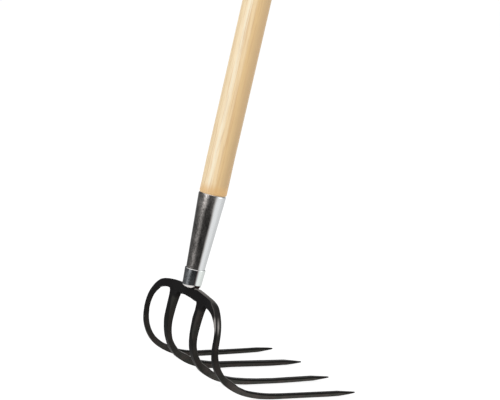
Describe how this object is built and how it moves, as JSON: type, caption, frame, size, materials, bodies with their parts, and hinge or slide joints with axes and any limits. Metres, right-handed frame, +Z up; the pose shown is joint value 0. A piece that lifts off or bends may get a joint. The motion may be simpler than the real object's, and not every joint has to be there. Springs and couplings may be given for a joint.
{
  "type": "potato hoe",
  "caption": "Long-handled potato hoe: a flat forged head with curved tines turned forward, held to a varnished ash handle by a steel collar and tapered ferrule.",
  "frame": {"origin": "on the handle's axis where the leading hand holds it, 300 mm below the butt", "axes": "+Z up with the tines level, the handle leaning 7.2 degrees from it towards the tines; +Y the way the tines point; +X across the tines"},
  "size_m": [0.1699, 0.203, 1.5154],
  "materials": {
    "black_paint": "satin black paint over forged steel",
    "collar_steel": "polished bright steel",
    "ferrule_steel": "polished bright steel, lightly mottled",
    "nail_steel": "plain bright steel",
    "varnished_ash": "pale ash under thin satin varnish"
  },
  "bodies": {
    "root": {"handle": "varnished_ash", "ferrule": "ferrule_steel", "collar": "collar_steel", "fork_head": "black_paint", "ferrule_nail": "nail_steel"}
  },
  "joints": []
}
